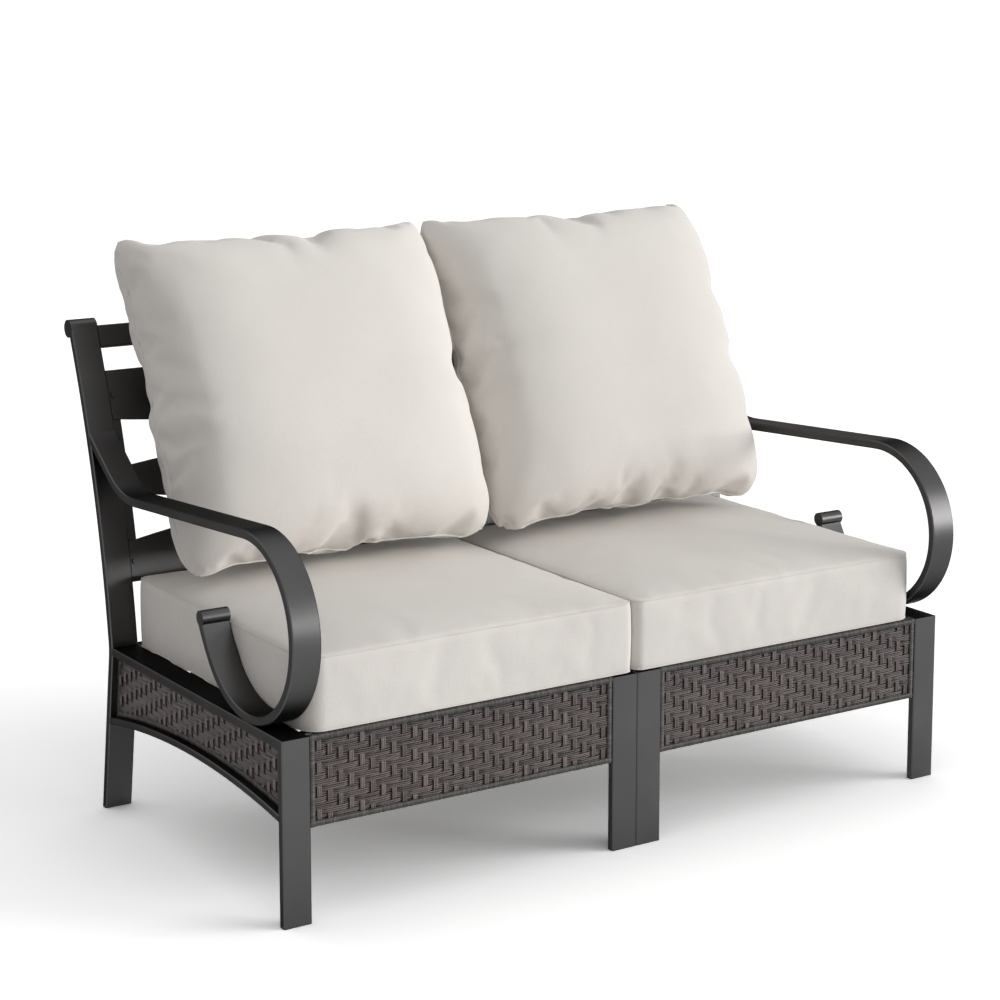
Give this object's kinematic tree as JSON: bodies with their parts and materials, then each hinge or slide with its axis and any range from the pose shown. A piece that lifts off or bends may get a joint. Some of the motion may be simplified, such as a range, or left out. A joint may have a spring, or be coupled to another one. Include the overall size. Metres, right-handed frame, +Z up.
{
  "type": "patio loveseat",
  "caption": "Low patio loveseat of mirrored seats with a flat steel tube frame, scrolled arms, bowed slat back, woven aprons, boxed seat cushions and plump leaning pillows.",
  "frame": {"origin": "on the floor, under the middle of the loveseat's width and depth", "axes": "+X to the right of someone who faces the loveseat, along its width; +Y from front to back; +Z up"},
  "size_m": [1.36, 0.8379, 1.0091],
  "materials": {
    "frame_paint": "satin charcoal powder coat",
    "woven_resin": "woven brown-grey resin strands",
    "foot_plastic": "moulded black plastic",
    "cushion_fabric": "plain off-white outdoor cloth"
  },
  "bodies": {
    "frame": {"left_arm_tip_roll": "frame_paint", "left_back_slat_lower": "frame_paint", "left_back_slat_middle": "frame_paint", "left_back_slat_upper": "frame_paint", "left_back_top_rail": "frame_paint", "left_foot_glides": "foot_plastic", "left_front_seat_rail": "frame_paint", "left_inner_arched_rail": "frame_paint", "left_inner_back_strip": "frame_paint", "left_inner_front_leg": "frame_paint", "left_inner_rear_stile": "frame_paint", "left_inner_side_rail": "frame_paint", "left_outer_arched_rail": "frame_paint", "left_outer_back_strip": "frame_paint", "left_outer_front_leg": "frame_paint", "left_outer_rear_stile": "frame_paint", "left_outer_side_rail": "frame_paint", "left_rear_seat_rail": "frame_paint", "left_scroll_arm": "frame_paint", "left_seat_slat_1": "frame_paint", "left_seat_slat_2": "frame_paint", "left_seat_slat_3": "frame_paint", "left_seat_slat_4": "frame_paint", "left_slat_bolts": "frame_paint", "left_stile_top_rolls": "frame_paint", "left_woven_apron": "woven_resin", "left_woven_side_panel": "woven_resin", "right_arm_tip_roll": "frame_paint", "right_back_slat_lower": "frame_paint", "right_back_slat_middle": "frame_paint", "right_back_slat_upper": "frame_paint", "right_back_top_rail": "frame_paint", "right_foot_glides": "foot_plastic", "right_front_seat_rail": "frame_paint", "right_inner_arched_rail": "frame_paint", "right_inner_back_strip": "frame_paint", "right_inner_front_leg": "frame_paint", "right_inner_rear_stile": "frame_paint", "right_inner_side_rail": "frame_paint", "right_outer_arched_rail": "frame_paint", "right_outer_back_strip": "frame_paint", "right_outer_front_leg": "frame_paint", "right_outer_rear_stile": "frame_paint", "right_outer_side_rail": "frame_paint", "right_rear_seat_rail": "frame_paint", "right_scroll_arm": "frame_paint", "right_seat_slat_1": "frame_paint", "right_seat_slat_2": "frame_paint", "right_seat_slat_3": "frame_paint", "right_seat_slat_4": "frame_paint", "right_slat_bolts": "frame_paint", "right_stile_top_rolls": "frame_paint", "right_woven_apron": "woven_resin", "right_woven_side_panel": "woven_resin", "seat_joining_clips": "frame_paint"},
    "left_seat": {"left_seat_cushion": "cushion_fabric"},
    "right_seat": {"right_seat_cushion": "cushion_fabric"},
    "left_pillow": {"left_back_pillow": "cushion_fabric"},
    "right_pillow": {"right_back_pillow": "cushion_fabric"}
  },
  "joints": [
    {"name": "left_seat_lift", "type": "slide", "parent": "frame", "child": "left_seat", "axis": [0, 0, 1], "range_m": [0, 0.25]},
    {"name": "left_pillow_lift", "type": "slide", "parent": "left_seat", "child": "left_pillow", "axis": [0, 0, 1], "range_m": [0, 0.3]},
    {"name": "right_seat_lift", "type": "slide", "parent": "frame", "child": "right_seat", "axis": [0, 0, 1], "range_m": [0, 0.25]},
    {"name": "right_pillow_lift", "type": "slide", "parent": "right_seat", "child": "right_pillow", "axis": [0, 0, 1], "range_m": [0, 0.3]}
  ]
}
